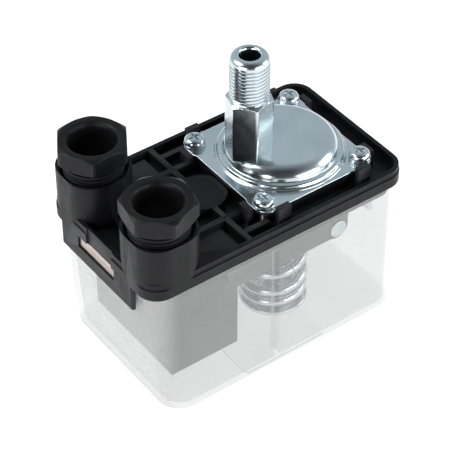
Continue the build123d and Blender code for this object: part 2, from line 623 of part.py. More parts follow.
# ---------------------------------------------------------------- pressure side
def flange_plate():
    """Pressed steel flange with the domed pressure chamber."""
    half = FLANGE_SIZE / 2
    plate = rounded_block(
        FLANGE_X - half, FLANGE_X + half, -half, half, PLATE_BOTTOM_Z, FLANGE_TOP_Z, FLANGE_CORNER_R,
    )
    h = DOME_TOP_Z - FLANGE_TOP_Z
    bead_z = 0.3 * h
    wall_r = DOME_TOP_R + DOME_SHOULDER
    outside = [
        (0, -FLANGE_T / 2), (DOME_FOOT_R, -FLANGE_T / 2), (DOME_FOOT_R, 0.5),
        (DOME_FOOT_R - 0.5, 0.9), (DOME_BEAD_R + 0.3, 1.1), (DOME_BEAD_R, bead_z),
        (DOME_BEAD_R - 0.8, bead_z + 0.5), (wall_r, bead_z + 0.9), (wall_r, h - DOME_SHOULDER),
        (wall_r - 0.6, h - 0.7), (DOME_TOP_R, h), (0, h),
    ]
    inside_r = DOME_TOP_R + DOME_SHOULDER - DOME_WALL
    inside_h = h - DOME_WALL
    inside = [
        (0, -FLANGE_T - OVER), (inside_r, -FLANGE_T - OVER), (inside_r, inside_h - DOME_SHOULDER),
        (inside_r - DOME_SHOULDER, inside_h), (0, inside_h),
    ]
    plate += turned(DOME_X, 0, FLANGE_TOP_Z, outside)
    plate -= turned(DOME_X, 0, FLANGE_TOP_Z, inside)
    for x, y in FLANGE_SCREWS:
        plate -= rod(x, y, PLATE_BOTTOM_Z - OVER, FLANGE_TOP_Z + OVER, SCREW_R + SCREW_CLEAR)
    return plate - rod(NIPPLE_X, 0, FLANGE_TOP_Z, DOME_TOP_Z + OVER, SPIGOT_R)


def pressure_nipple():
    """Hexagonal nipple with a G 1/4 male end, its spigot swaged into the dome."""
    base_z = DOME_TOP_Z - DOME_WALL
    r = NIPPLE_THREAD_R
    c = NIPPLE_CHAMFER
    tip = NIPPLE_TIP_Z - NIPPLE_HEX_TOP_Z
    nipple = hexagon(NIPPLE_X, 0, DOME_TOP_Z, NIPPLE_HEX_TOP_Z, NIPPLE_HEX_AF, NIPPLE_NORMAL)
    profile = [(0, -OVER), (r, -OVER), (r, tip - c), (r - c, tip), (0, tip)]
    nipple += turned(NIPPLE_X, 0, NIPPLE_HEX_TOP_Z, profile)
    nipple += rod(NIPPLE_X, 0, base_z, DOME_TOP_Z + OVER, SPIGOT_R)
    return nipple - rod(NIPPLE_X, 0, base_z - OVER, NIPPLE_TIP_Z + OVER, NIPPLE_BORE_R)


def flange_screws():
    """Four screws that clamp the flange, the base and the frame together."""
    seat = FLANGE_TOP_Z + LOCK_WASHER_T
    end = FRAME_BOTTOM_Z - SCREW_REACH
    return group([
        pan_screw(x, y, seat, end, SCREW_R, SCREW_HEAD_R, SCREW_HEAD_H) for x, y in FLANGE_SCREWS
    ])


def flange_lock_washers():
    """Spring washers under the four heads, each with its split."""
    rings = []
    z0 = FLANGE_TOP_Z
    z1 = FLANGE_TOP_Z + LOCK_WASHER_T
    for x, y in FLANGE_SCREWS:
        ring = rod(x, y, z0, z1, SCREW_HEAD_R) - rod(x, y, z0 - OVER, z1 + OVER, SCREW_R + SCREW_CLEAR)
        half = WASHER_SPLIT / 2
        rings.append(ring - block(x, x + SCREW_HEAD_R + OVER, y - half, y + half, z0 - OVER, z1 + OVER))
    return group(rings)


def diaphragm():
    """Rubber diaphragm clamped between the base and the flange."""
    return rod(DOME_X, 0, SEAT_TOP_Z, PLATE_BOTTOM_Z, DIAPHRAGM_R)


def piston():
    """Disc under the diaphragm; the frame guides its stem, which presses on the lever."""
    top = SEAT_TOP_Z - DIAPHRAGM_GAP
    ball_z = LEVER_TOP_Z + PISTON_TIP_GAP + PISTON_STEM_R
    body = rod(DOME_X, 0, top - PISTON_T, top, PISTON_R)
    body += rod(DOME_X, 0, ball_z, top - PISTON_T / 2, PISTON_STEM_R)
    return body + Pos(DOME_X, 0, ball_z) * Sphere(PISTON_STEM_R)


# ---------------------------------------------------------------- frame and lever
def mounting_frame():
    """Pressed steel frame under the base, with two ears for the pivot and an earth tab."""
    z0 = FRAME_BOTTOM_Z
    z1 = FRAME_TOP_Z
    frame = rounded_block(FRAME_X0, FRAME_X1, -FRAME_Y, FRAME_Y, z0, z1, FRAME_R)
    frame -= rod(DOME_X, 0, z0 - OVER, z1 + OVER, PISTON_STEM_R + PISTON_CLEAR)
    for side in (-1, 1):
        y0 = side * (FRAME_Y - FRAME_T)
        y1 = side * FRAME_Y
        ear = block(PIVOT_X - LEVER_END_R, PIVOT_X + LEVER_END_R, y0, y1, PIVOT_Z, z0 + FRAME_T / 2)
        ear += y_rod(PIVOT_X, PIVOT_Z, y0, y1, LEVER_END_R)
        frame += ear - y_rod(PIVOT_X, PIVOT_Z, y0 - side, y1 + side, PIN_R + PIN_CLEAR)
    for x, y in FLANGE_SCREWS:
        frame -= rod(x, y, z0 - OVER, z1 + OVER, SCREW_R)
    frame -= rod(RANGE_X, RANGE_Y, z0 - OVER, z1 + OVER, RANGE_STUD_R)
    frame -= rod(DIFF_X, DIFF_Y, z0 - OVER, z1 + OVER, DIFF_STUD_R)
    tab_x = FRAME_X1 - FRAME_T
    frame += block(
        tab_x, FRAME_X1, EARTH_Y - EARTH_TAB, EARTH_Y + EARTH_TAB, EARTH_Z - EARTH_TAB, z0 + FRAME_T / 2,
    )
    return frame - x_rod(tab_x - OVER, FRAME_X1 + OVER, EARTH_Y, EARTH_Z, EARTH_SCREW_R)


def lever():
    """Channel-shaped lever, open downwards, that turns on the frame's ears."""
    y_in = LEVER_Y - LEVER_T
    x1 = PIVOT_X + LEVER_END_R
    nose_x = LEVER_X0 + LEVER_NOSE_R
    nose_z = LEVER_BOTTOM_Z + LEVER_NOSE_R
    channel = block(LEVER_X0, x1, -LEVER_Y, LEVER_Y, LEVER_WEB_Z, LEVER_TOP_Z)
    for side in (-1, 1):
        y0 = side * y_in
        y1 = side * LEVER_Y
        flank = block(nose_x, PIVOT_X, y0, y1, LEVER_BOTTOM_Z, LEVER_TOP_Z)
        flank += block(LEVER_X0, nose_x, y0, y1, nose_z, LEVER_TOP_Z)
        flank += y_rod(nose_x, nose_z, y0, y1, LEVER_NOSE_R)
        flank += block(PIVOT_X, x1, y0, y1, PIVOT_Z, LEVER_TOP_Z)
        flank += y_rod(PIVOT_X, PIVOT_Z, y0, y1, LEVER_END_R)
        channel += flank - y_rod(PIVOT_X, PIVOT_Z, y0 - side, y1 + side, PIN_R)
        # open corner that lets the frame's ear through the web
        ear_out = side * (FRAME_Y + EAR_GAP)
        ear_in = side * (FRAME_Y - FRAME_T - EAR_GAP)
        slot_x = PIVOT_X - LEVER_END_R - 2 * EAR_GAP
        channel -= block(slot_x, x1 + OVER, ear_in, ear_out, LEVER_WEB_Z - OVER, LEVER_TOP_Z + OVER)
    for x, y, r in ((RANGE_X, RANGE_Y, RANGE_STUD_R), (DIFF_X, DIFF_Y, DIFF_STUD_R)):
        channel -= rod(x, y, LEVER_WEB_Z - OVER, LEVER_TOP_Z + OVER, r + STUD_HOLE_CLEAR)
    return channel


def pivot_pin():
    """Steel pin on which the lever turns, headed at one end and grooved at the other."""
    y0 = -LEVER_Y - PIN_HEAD_T
    pin = y_rod(PIVOT_X, PIVOT_Z, y0, LEVER_Y + PIN_END, PIN_R)
    pin += y_rod(PIVOT_X, PIVOT_Z, y0, -LEVER_Y, PIN_HEAD_R)
    g0 = LEVER_Y + CLIP_GROOVE
    g1 = g0 + RETAINER_T
    groove = y_rod(PIVOT_X, PIVOT_Z, g0, g1, PIN_R + OVER)
    groove -= y_rod(PIVOT_X, PIVOT_Z, g0 - OVER, g1 + OVER, PIN_R * 0.75)
    return pin - groove


def pivot_retainer():
    """Retaining clip in the pin's groove."""
    y0 = LEVER_Y + CLIP_GROOVE
    y1 = y0 + RETAINER_T
    ring = y_rod(PIVOT_X, PIVOT_Z, y0, y1, PIN_R * 1.9)
    ring -= y_rod(PIVOT_X, PIVOT_Z, y0 - OVER, y1 + OVER, PIN_R * 0.75)
    mouth = PIN_R * 0.6
    return ring - block(PIVOT_X - mouth, PIVOT_X + mouth, y0 - OVER, y1 + OVER, PIVOT_Z - 6, PIVOT_Z)


# ---------------------------------------------------------------- adjusting springs
def range_stud():
    """Threaded stud of the pressure-setting spring."""
    return rod(RANGE_X, RANGE_Y, RANGE_STUD_END_Z, FRAME_TOP_Z, RANGE_STUD_R)


def differential_stud():
    """Threaded stud of the differential spring."""
    end = DIFF_SEAT_Z - DIFF_SEAT_T - DIFF_NUT_H - STUD_END
    return rod(DIFF_X, DIFF_Y, end, FRAME_TOP_Z, DIFF_STUD_R)


def spring_seat(x, y, top_z, thick, coil_r, wire_r, stud_r):
    """Seat with a centring shoulder that fits inside the spring's end coil."""
    seat = rod(x, y, top_z - thick, top_z, coil_r + wire_r)
    seat += rod(x, y, top_z - thick, top_z + wire_r, coil_r - wire_r - SPRING_GAP)
    return seat - rod(x, y, top_z - thick - OVER, top_z + wire_r + OVER, stud_r + NUT_CLEAR)


def range_seat():
    """Seat of the pressure-setting spring."""
    return spring_seat(
        RANGE_X, RANGE_Y, RANGE_SEAT_Z, RANGE_SEAT_T, RANGE_COIL_R, RANGE_WIRE_R, RANGE_STUD_R,
    )


def differential_seat():
    """Seat of the differential spring."""
    return spring_seat(DIFF_X, DIFF_Y, DIFF_SEAT_Z, DIFF_SEAT_T, DIFF_COIL_R, DIFF_WIRE_R, DIFF_STUD_R)


def nut(x, y, top_z, height, across_flats, stud_r):
    """A hexagon nut with both ends chamfered."""
    body = hexagon(x, y, top_z - height, top_z, across_flats, 90.0, True, True)
    return body - rod(x, y, top_z - height - OVER, top_z + OVER, stud_r + NUT_CLEAR)


def range_nut():
    """Nut that sets the switching pressure."""
    return nut(RANGE_X, RANGE_Y, RANGE_SEAT_Z - RANGE_SEAT_T, RANGE_NUT_H, RANGE_NUT_AF, RANGE_STUD_R)


def differential_nut():
    """Nut that sets the difference between cut-in and cut-out."""
    return nut(DIFF_X, DIFF_Y, DIFF_SEAT_Z - DIFF_SEAT_T, DIFF_NUT_H, DIFF_NUT_AF, DIFF_STUD_R)


def range_spring():
    """Large spring that sets the switching pressure."""
    z0 = RANGE_SEAT_Z + SPRING_GAP
    z1 = LEVER_WEB_Z - SPRING_GAP
    return coil(RANGE_X, RANGE_Y, z0, z1, RANGE_COIL_R, RANGE_WIRE_R, RANGE_TURNS)


def differential_spring():
    """Small spring that sets the difference between cut-in and cut-out."""
    z0 = DIFF_SEAT_Z + SPRING_GAP
    z1 = LEVER_WEB_Z - SPRING_GAP
    return coil(DIFF_X, DIFF_Y, z0, z1, DIFF_COIL_R, DIFF_WIRE_R, DIFF_TURNS)


# ---------------------------------------------------------------- electrical side
def contact_block():
    """Dark moulded block that holds the terminals and guides the contact carrier."""
    body = block(BLOCK_X0, BLOCK_X1, -BLOCK_Y, BLOCK_Y, BLOCK_Z0, BLOCK_SHOULDER_Z)
    body += block(BLOCK_TOP_X0, BLOCK_TOP_X1, -BLOCK_Y, BLOCK_Y, BLOCK_SHOULDER_Z, BLOCK_TOP_Z)
    column = BLOCK_COLUMN_Y
    body += block(BLOCK_TOP_X0, BLOCK_TOP_X1, -column, column, BLOCK_SHOULDER_Z, RIM_BOTTOM_Z)
    c = CARRIER_CLEAR
    body -= block(
        CARRIER_X0 - c, CARRIER_X1 + c, -CARRIER_HALF - c, CARRIER_HALF + c,
        CARRIER_SLOT_Z, BLOCK_SHOULDER_Z + OVER,
    )
    for y in POLES:
        body -= block(CHAMBER_X0, CARRIER_X, y - CHAMBER_HALF, y + CHAMBER_HALF, CHAMBER_Z0, CHAMBER_Z1)
    for y in TERMINALS:
        body -= terminal_strip(y)
        body -= rod(TERMINAL_X, y, BLOCK_Z0 - OVER, TERMINAL_FOOT_Z, TERMINAL_WELL_R)
        body -= rod(TERMINAL_X, y, TERMINAL_FOOT_Z, TERMINAL_FOOT_Z + 5, TERMINAL_SCREW_R)
        half = WIRE_SLOT_W / 2
        slot_z = TERMINAL_FOOT_Z - CLAMP_OPEN - CLAMP_T
        body -= block(BLOCK_X0 - OVER, TERMINAL_X, y - half, y + half, slot_z, TERMINAL_FOOT_Z)
    for x in BLOCK_SCREW_X:
        body -= rod(x, 0, BLOCK_SHOULDER_Z, RIM_BOTTOM_Z + OVER, BLOCK_SCREW_R)
    return body


def block_screws():
    """Screws from the deck into the top of the contact block."""
    end = BLOCK_SHOULDER_Z + OVER
    return group([
        pan_screw(x, 0, PAD_TOP_Z, end, BLOCK_SCREW_R, BLOCK_SCREW_HEAD_R, BLOCK_SCREW_HEAD_H)
        for x in BLOCK_SCREW_X
    ])


def terminal_strip(y):
    """Stepped brass strip: foot under the terminal screw, riser, and arm into the chamber."""
    half = STRIP_W / 2
    foot_z = TERMINAL_FOOT_Z + STRIP_T
    riser_x = TERMINAL_X + TERMINAL_WELL_R + STRIP_T
    arm_z = FIXED_Z + STRIP_T
    strip = block(TERMINAL_X - half, riser_x, y - half, y + half, TERMINAL_FOOT_Z, foot_z)
    strip += block(riser_x - STRIP_T, riser_x, y - half, y + half, TERMINAL_FOOT_Z, arm_z)
    strip += block(riser_x - STRIP_T, STRIP_END_X, y - half, y + half, FIXED_Z, arm_z)
    return strip


def terminal_strips():
    """The four fixed-contact strips with their rivets."""
    strips = []
    for y in TERMINALS:
        strip = terminal_strip(y) - rod(TERMINAL_X, y, TERMINAL_FOOT_Z - OVER, FIXED_Z, TERMINAL_SCREW_R)
        strips.append(strip + rod(RIVET_X, y, FIXED_Z - RIVET_H, FIXED_Z + STRIP_T / 2, RIVET_R))
    return group(strips)


def terminal_clamps():
    """Square clamping plates under the terminal screws."""
    plates = []
    z1 = TERMINAL_FOOT_Z - CLAMP_OPEN
    half = WIRE_SLOT_W / 2 - CARRIER_CLEAR
    for y in TERMINALS:
        plate = block(TERMINAL_X - half, TERMINAL_X + half, y - half, y + half, z1 - CLAMP_T, z1)
        plates.append(plate - rod(TERMINAL_X, y, z1 - CLAMP_T - OVER, z1 + OVER, TERMINAL_SCREW_R))
    return group(plates)


def terminal_screws():
    """Four terminal screws, heads towards the closed end of the cover."""
    screws = []
    head_top = TERMINAL_FOOT_Z - CLAMP_OPEN - CLAMP_T
    head_z = head_top - TERMINAL_HEAD_H
    for y in TERMINALS:
        screw = rod(TERMINAL_X, y, head_z, head_top, TERMINAL_HEAD_R)
        screw += rod(TERMINAL_X, y, head_top, TERMINAL_FOOT_Z + 4, TERMINAL_SCREW_R)
        half = TERMINAL_HEAD_R * 0.15
        reach = TERMINAL_HEAD_R + OVER
        slot_top = head_z + TERMINAL_HEAD_H / 2
        screws.append(screw - block(
            TERMINAL_X - reach, TERMINAL_X + reach, y - half, y + half, head_z - OVER, slot_top,
        ))
    return group(screws)


def contact_carrier():
    """Sliding carrier that the lever's nose pushes down to open the contacts."""
    body = block(CARRIER_X0, CARRIER_X1, -CARRIER_HALF, CARRIER_HALF, CARRIER_Z0, CARRIER_TOP_Z)
    ball_z = LEVER_WEB_Z - CARRIER_TIP_GAP - CARRIER_STUB_R
    body += rod(CARRIER_X, 0, CARRIER_TOP_Z - OVER, ball_z, CARRIER_STUB_R)
    body += Pos(CARRIER_X, 0, ball_z) * Sphere(CARRIER_STUB_R)
    for y in POLES:
        body -= bridge_bar(y)
        pocket_top = CARRIER_Z0 + RETURN_POCKET
        body -= rod(CARRIER_X, y, CARRIER_Z0 - OVER, pocket_top, RETURN_COIL_R + 2 * RETURN_WIRE_R)
    return body


def bridge_bar(y):
    """Bar of one moving contact, held in the carrier."""
    return block(
        BRIDGE_X0, CARRIER_X, y - BRIDGE_HALF, y + BRIDGE_HALF, BRIDGE_TOP_Z - BRIDGE_T, BRIDGE_TOP_Z,
    )


def moving_contacts():
    """Two contact bridges, each with a rivet under either fixed contact."""
    bridges = []
    for pole in POLES:
        bridge = bridge_bar(pole)
        for side in (-1, 1):
            y = pole + side * TERMINAL_DY
            bridge += rod(RIVET_X, y, BRIDGE_TOP_Z - BRIDGE_T / 2, BRIDGE_TOP_Z + RIVET_H, RIVET_R)
        bridges.append(bridge)
    return group(bridges)


def return_springs():
    """Two small springs that lift the carrier."""
    z0 = CARRIER_SLOT_Z + SPRING_GAP
    z1 = CARRIER_Z0 + RETURN_POCKET - SPRING_GAP
    turns = (z1 - z0 - 2 * RETURN_WIRE_R) / RETURN_PITCH
    return group([coil(CARRIER_X, y, z0, z1, RETURN_COIL_R, RETURN_WIRE_R, turns) for y in POLES])


# ---------------------------------------------------------------- earth terminal
def earth_screw():
    """Earth screw on the frame's tab, its head towards the wiring space."""
    x = FRAME_X1 + EARTH_CLAMP_T
    screw = x_rod(x, x + EARTH_HEAD_H, EARTH_Y, EARTH_Z, EARTH_HEAD_R)
    half = EARTH_HEAD_R * 0.12
    reach = EARTH_HEAD_R + OVER
    screw -= block(
        x + EARTH_HEAD_H / 2, x + EARTH_HEAD_H + OVER,
        EARTH_Y - reach, EARTH_Y + reach, EARTH_Z - half, EARTH_Z + half,
    )
    return screw + x_rod(FRAME_X1 - FRAME_T - 2 * OVER, x + OVER / 2, EARTH_Y, EARTH_Z, EARTH_SCREW_R)


def earth_clamp():
    """Square clamping plate under the earth screw."""
    half = EARTH_CLAMP_SIZE / 2
    x1 = FRAME_X1 + EARTH_CLAMP_T
    plate = block(FRAME_X1, x1, EARTH_Y - half, EARTH_Y + half, EARTH_Z - half, EARTH_Z + half)
    return plate - x_rod(FRAME_X1 - OVER, x1 + OVER, EARTH_Y, EARTH_Z, EARTH_SCREW_R)


# ---------------------------------------------------------------- all the pieces
def main():
    pieces = {
        "base_housing": base_housing(),
        "clear_cover": clear_cover(),
        "cover_clip": cover_clip(),
        "gland_screw_near": gland_screw(-GLAND_Y, NEAR_NUT_NORMAL),
        "gland_screw_far": gland_screw(GLAND_Y, FAR_NUT_NORMAL),
        "gland_ring_near": gland_ring(-GLAND_Y),
        "gland_ring_far": gland_ring(GLAND_Y),
        "gland_seal_near": gland_seal(-GLAND_Y),
        "gland_seal_far": gland_seal(GLAND_Y),
        "flange_plate": flange_plate(),
        "pressure_nipple": pressure_nipple(),
        "flange_screws": flange_screws(),
        "flange_lock_washers": flange_lock_washers(),
        "diaphragm": diaphragm(),
        "piston": piston(),
        "mounting_frame": mounting_frame(),
        "lever": lever(),
        "pivot_pin": pivot_pin(),
        "pivot_retainer": pivot_retainer(),
        "range_stud": range_stud(),
        "range_seat": range_seat(),
        "range_nut": range_nut(),
        "range_spring": range_spring(),
        "differential_stud": differential_stud(),
        "differential_seat": differential_seat(),
        "differential_nut": differential_nut(),
        "differential_spring": differential_spring(),
        "contact_block": contact_block(),
        "block_screws": block_screws(),
        "terminal_strips": terminal_strips(),
        "terminal_clamps": terminal_clamps(),
        "terminal_screws": terminal_screws(),
        "contact_carrier": contact_carrier(),
        "moving_contacts": moving_contacts(),
        "return_springs": return_springs(),
        "earth_screw": earth_screw(),
        "earth_clamp": earth_clamp(),
    }
    os.makedirs("parts", exist_ok=True)
    for name, piece in pieces.items():
        piece.label = name
        export_step(piece, f"parts/{name}.step")


main()
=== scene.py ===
import json
import math

import bmesh
import bpy
from mathutils import Matrix, Vector
from mathutils.bvhtree import BVHTree


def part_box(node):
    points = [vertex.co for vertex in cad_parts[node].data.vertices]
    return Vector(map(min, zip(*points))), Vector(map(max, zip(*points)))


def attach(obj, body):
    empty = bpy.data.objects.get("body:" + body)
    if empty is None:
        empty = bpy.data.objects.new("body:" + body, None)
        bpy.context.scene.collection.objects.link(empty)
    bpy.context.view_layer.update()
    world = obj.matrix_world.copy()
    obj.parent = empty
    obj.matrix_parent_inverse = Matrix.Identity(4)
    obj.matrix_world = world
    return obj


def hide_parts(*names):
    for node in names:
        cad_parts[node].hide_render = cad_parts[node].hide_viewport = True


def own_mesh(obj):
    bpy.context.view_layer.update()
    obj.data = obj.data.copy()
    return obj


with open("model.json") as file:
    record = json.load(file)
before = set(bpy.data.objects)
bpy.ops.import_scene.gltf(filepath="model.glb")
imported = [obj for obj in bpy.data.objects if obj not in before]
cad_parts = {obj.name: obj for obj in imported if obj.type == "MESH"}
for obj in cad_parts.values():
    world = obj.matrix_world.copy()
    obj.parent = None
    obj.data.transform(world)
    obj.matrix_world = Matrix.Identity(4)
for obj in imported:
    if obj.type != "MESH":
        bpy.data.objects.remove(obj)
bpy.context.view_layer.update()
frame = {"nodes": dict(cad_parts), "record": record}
MM = 0.001
TAU = 2 * math.pi


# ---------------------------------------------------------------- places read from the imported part
def box_mm(node):
    lo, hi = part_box(node)
    return [c / MM for c in lo], [c / MM for c in hi]


def centre_mm(node):
    lo, hi = box_mm(node)
    return [(a + b) / 2 for a, b in zip(lo, hi)]


NIPPLE_LO, NIPPLE_HI = box_mm("pressure_nipple")
NIPPLE_X = centre_mm("pressure_nipple")[0]
FLANGE_LO, FLANGE_HI = box_mm("flange_plate")
DOME_TOP = FLANGE_HI[2]
DOME_HEIGHT = 6.4
DOME_X = centre_mm("diaphragm")[0]
FLANGE_TOP = DOME_TOP - DOME_HEIGHT
HEX_TOP = DOME_TOP + 21.8       # top of the nipple's hexagon
COVER_END_X = box_mm("clear_cover")[0][0]

# travels, as the joints have them
RANGE_TRAVEL = 6.0
DIFFERENTIAL_TRAVEL = 3.5
LEVER_SWING = math.radians(4)
LEVER_ARM = 16.0                # pivot to the adjusting springs' axis

# how far each hexagon is turned, in degrees
NIPPLE_TURN = 42.6
GLAND_NEAR_TURN = 50.0
GLAND_FAR_TURN = 27.6


# ---------------------------------------------------------------- materials
def node_tree(name):
    material = bpy.data.materials.new(name)
    material.use_nodes = True
    tree = material.node_tree
    return material, tree, tree.nodes["Principled BSDF"]


def noise(tree, scale, detail=4.0, stretch=(1, 1, 1)):
    """Noise in the object's own coordinates; features are about 1 / scale metres."""
    where = tree.nodes.new("ShaderNodeTexCoord")
    mapping = tree.nodes.new("ShaderNodeMapping")
    mapping.inputs["Scale"].default_value = stretch
    tex = tree.nodes.new("ShaderNodeTexNoise")
    tex.inputs["Scale"].default_value = scale
    tex.inputs["Detail"].default_value = detail
    tree.links.new(where.outputs["Object"], mapping.inputs["Vector"])
    tree.links.new(mapping.outputs["Vector"], tex.inputs["Vector"])
    return tex.outputs["Fac"]


def ramp(tree, value, low, high, stops=(0.35, 0.65)):
    """A colour from low to high as the value goes from one stop to the other."""
    node = tree.nodes.new("ShaderNodeValToRGB")
    for element, stop, colour in zip(node.color_ramp.elements, stops, (low, high)):
        element.position = stop
        element.color = (*colour, 1)
    tree.links.new(value, node.inputs["Fac"])
    return node.outputs["Color"]


def mapped(tree, value, limits, results=(0.0, 1.0), smooth=False):
    """The value between two limits carried over to two results."""
    node = tree.nodes.new("ShaderNodeMapRange")
    if smooth:
        node.interpolation_type = "SMOOTHSTEP"
    node.inputs["From Min"].default_value, node.inputs["From Max"].default_value = limits
    node.inputs["To Min"].default_value, node.inputs["To Max"].default_value = results
    tree.links.new(value, node.inputs["Value"])
    return node.outputs["Result"]


def varied(tree, value, low, high):
    """A noise, which keeps near its middle, spread from low to high."""
    return mapped(tree, value, (0.3, 0.7), (low, high))


def tinted(tree, factor, colour, over):
    """A colour laid over a colour socket, as far as the factor says."""
    node = tree.nodes.new("ShaderNodeMix")
    node.data_type = "RGBA"
    tree.links.new(factor, node.inputs["Factor"])
    tree.links.new(over, node.inputs["A"])
    node.inputs["B"].default_value = (*colour, 1)
    return node.outputs["Result"]


def worn_edges(tree, colour, wear):
    """Mixes a wear colour in along convex edges."""
    geometry = tree.nodes.new("ShaderNodeNewGeometry")
    return tinted(tree, mapped(tree, geometry.outputs["Pointiness"], (0.53, 0.62)), wear, colour)


def times_plus(tree, value, factor, offset):
    """value x factor + offset. The offset is a number or another socket."""
    node = tree.nodes.new("ShaderNodeMath")
    node.operation = "MULTIPLY_ADD"
    node.inputs[1].default_value = factor
    tree.links.new(value, node.inputs[0])
    if isinstance(offset, float):
        node.inputs[2].default_value = offset
    else:
        tree.links.new(offset, node.inputs[2])
    return node.outputs["Value"]


def bump(tree, shader, value, strength, depth_mm):
    node = tree.nodes.new("ShaderNodeBump")
    node.inputs["Strength"].default_value = strength
    node.inputs["Distance"].default_value = depth_mm * MM
    tree.links.new(value, node.inputs["Height"])
    tree.links.new(node.outputs["Normal"], shader.inputs["Normal"])


def clouded(name, low, high, rough, cloud, detail, mottle, wear=None, stretch=(1, 1, 1)):
    """A material varied from low to high, with uneven roughness and perhaps worn edges."""
    material, tree, shader = node_tree(name)
    colour = ramp(tree, noise(tree, cloud, detail, stretch), low, high)
    if wear:
        colour = worn_edges(tree, colour, wear)
    tree.links.new(colour, shader.inputs["Base Color"])
    uneven = varied(tree, noise(tree, cloud * mottle, detail, stretch), *rough)
    tree.links.new(uneven, shader.inputs["Roughness"])
    return material, tree, shader


def plastic(name, low, high, rough, wear=None, depth=0.05, relief=0.35, shine=0.5):
    material, tree, shader = clouded(name, low, high, rough, 140, 4.0, 2.7, wear)
    shader.inputs["IOR"].default_value = 1.46
    shader.inputs["Specular IOR Level"].default_value = shine
    bump(tree, shader, noise(tree, 2600, 6.0), relief, depth)
    return material


def metal(name, low, high, rough, cloud=90, wear=None, stretch=(1, 1, 1)):
    material, tree, shader = clouded(name, low, high, rough, cloud, 5.0, 3.1, wear, stretch)
    shader.inputs["Metallic"].default_value = 1.0
    bump(tree, shader, noise(tree, 1500, 5.0, stretch), 0.06, 0.02)
    return material


def frosted(name):
    """Milky, see-through plastic. Its haze is denser along the foot and painted a darker grey there
    as shade along its bottom edge, and denser in the gland end's wall."""
    material, tree, shader = node_tree(name)
    where = tree.nodes.new("ShaderNodeTexCoord")
    apart = tree.nodes.new("ShaderNodeSeparateXYZ")
    tree.links.new(where.outputs["Object"], apart.inputs["Vector"])
    fading = (1.0, 0.0)
    foot_limits = (0.1 * MM, 2.4 * MM)
    end_limits = ((COVER_END_X + 2.0) * MM, (COVER_END_X + 9.0) * MM)
    foot = mapped(tree, apart.outputs["Z"], foot_limits, fading, smooth=True)
    end = mapped(tree, apart.outputs["X"], end_limits, fading, smooth=True)
    cloud = ramp(tree, noise(tree, 60), (0.54, 0.54, 0.535), (0.58, 0.58, 0.575))
    # the darker grey mixed in along the foot is painted shade of the cover's bottom edge
    tree.links.new(tinted(tree, foot, (0.36, 0.36, 0.355), cloud), shader.inputs["Base Color"])
    tree.links.new(varied(tree, noise(tree, 220), 0.22, 0.34), shader.inputs["Roughness"])
    shader.inputs["IOR"].default_value = 1.45
    dense = times_plus(tree, foot, 0.14, times_plus(tree, end, 0.24, 0.22))
    tree.links.new(dense, shader.inputs["Alpha"])
    return material


MATERIALS = {
    "black_plastic": plastic(
        "black_plastic", (0.0055, 0.0055, 0.0063), (0.0085, 0.0085, 0.0098), (0.36, 0.5),
        wear=(0.03, 0.03, 0.033), shine=0.2,
    ),
    "clear_cover": frosted("clear_cover"),
    "zinc_steel": metal(
        "zinc_steel", (0.57, 0.65, 0.68), (0.66, 0.72, 0.74), (0.17, 0.24), wear=(0.80, 0.83, 0.84),
    ),
    "spring_steel": metal(
        "spring_steel", (0.50, 0.57, 0.61), (0.66, 0.71, 0.74), (0.2, 0.34), cloud=160,
    ),
    "strip_metal": metal(
        "strip_metal", (0.40, 0.33, 0.28), (0.52, 0.45, 0.40), (0.3, 0.42), stretch=(1, 0.1, 1),
    ),
    "brass": metal("brass", (0.66, 0.46, 0.18), (0.80, 0.62, 0.30), (0.24, 0.38)),
    "grey_moulding": plastic(
        "grey_moulding", (0.02, 0.02, 0.022), (0.032, 0.032, 0.034), (0.5, 0.65), relief=0.08,
    ),
    "carrier_plastic": plastic(
        "carrier_plastic", (0.62, 0.60, 0.54), (0.74, 0.72, 0.67), (0.4, 0.55),
    ),
    "rubber": plastic(
        "rubber", (0.018, 0.018, 0.018), (0.03, 0.03, 0.03), (0.6, 0.78), depth=0.08,
    ),
    "dark_steel": plastic(
        "dark_steel", (0.04, 0.04, 0.043), (0.06, 0.06, 0.064), (0.38, 0.52),
        wear=(0.12, 0.12, 0.13), relief=0.06,
    ),
}
SLOT = {s["node"]: s["material_slot"] for s in frame["record"]["subparts"]}
BODY = {n: body for body, nodes in frame["record"]["behaviour"]["bodies"].items() for n in nodes}


# ---------------------------------------------------------------- making pieces
def add_piece(name, mesh, stands_for, joins=()):
    """Puts a finished mesh in the scene on its CAD node's body, with that node's finish."""
    obj = bpy.data.objects.new(name, mesh)
    bpy.context.scene.collection.objects.link(obj)
    mesh.materials.clear()
    mesh.materials.append(MATERIALS[SLOT[stands_for]])
    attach(obj, BODY[stands_for])
    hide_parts(stands_for, *joins)
    return obj


def to_mesh(bm, name):
    """The bmesh as a new mesh, and the bmesh let go."""
    mesh = bpy.data.meshes.new(name)
    bm.to_mesh(mesh)
    bm.free()
    return mesh


def mesh_from(name, points, faces):
    """A mesh from points in millimetres, with outward normals."""
    bm = bmesh.new()
    verts = [bm.verts.new(Vector(p) * MM) for p in points]
    for face in faces:
        bm.faces.new([verts[i] for i in face])
    bmesh.ops.remove_doubles(bm, verts=bm.verts, dist=0.0005 * MM)
    bmesh.ops.dissolve_degenerate(bm, dist=0.0005 * MM, edges=bm.edges)
    bmesh.ops.recalc_face_normals(bm, faces=bm.faces)
    return to_mesh(bm, name)


def joined(name, meshes, sewn=False):
    """Several meshes as one. Sewn ones are open, and close on each other where their rings meet."""
    bm = bmesh.new()
    for mesh in meshes:
        bm.from_mesh(mesh)
    if sewn:
        bmesh.ops.remove_doubles(bm, verts=bm.verts, dist=0.002 * MM)
        bmesh.ops.recalc_face_normals(bm, faces=bm.faces)
    return to_mesh(bm, name)


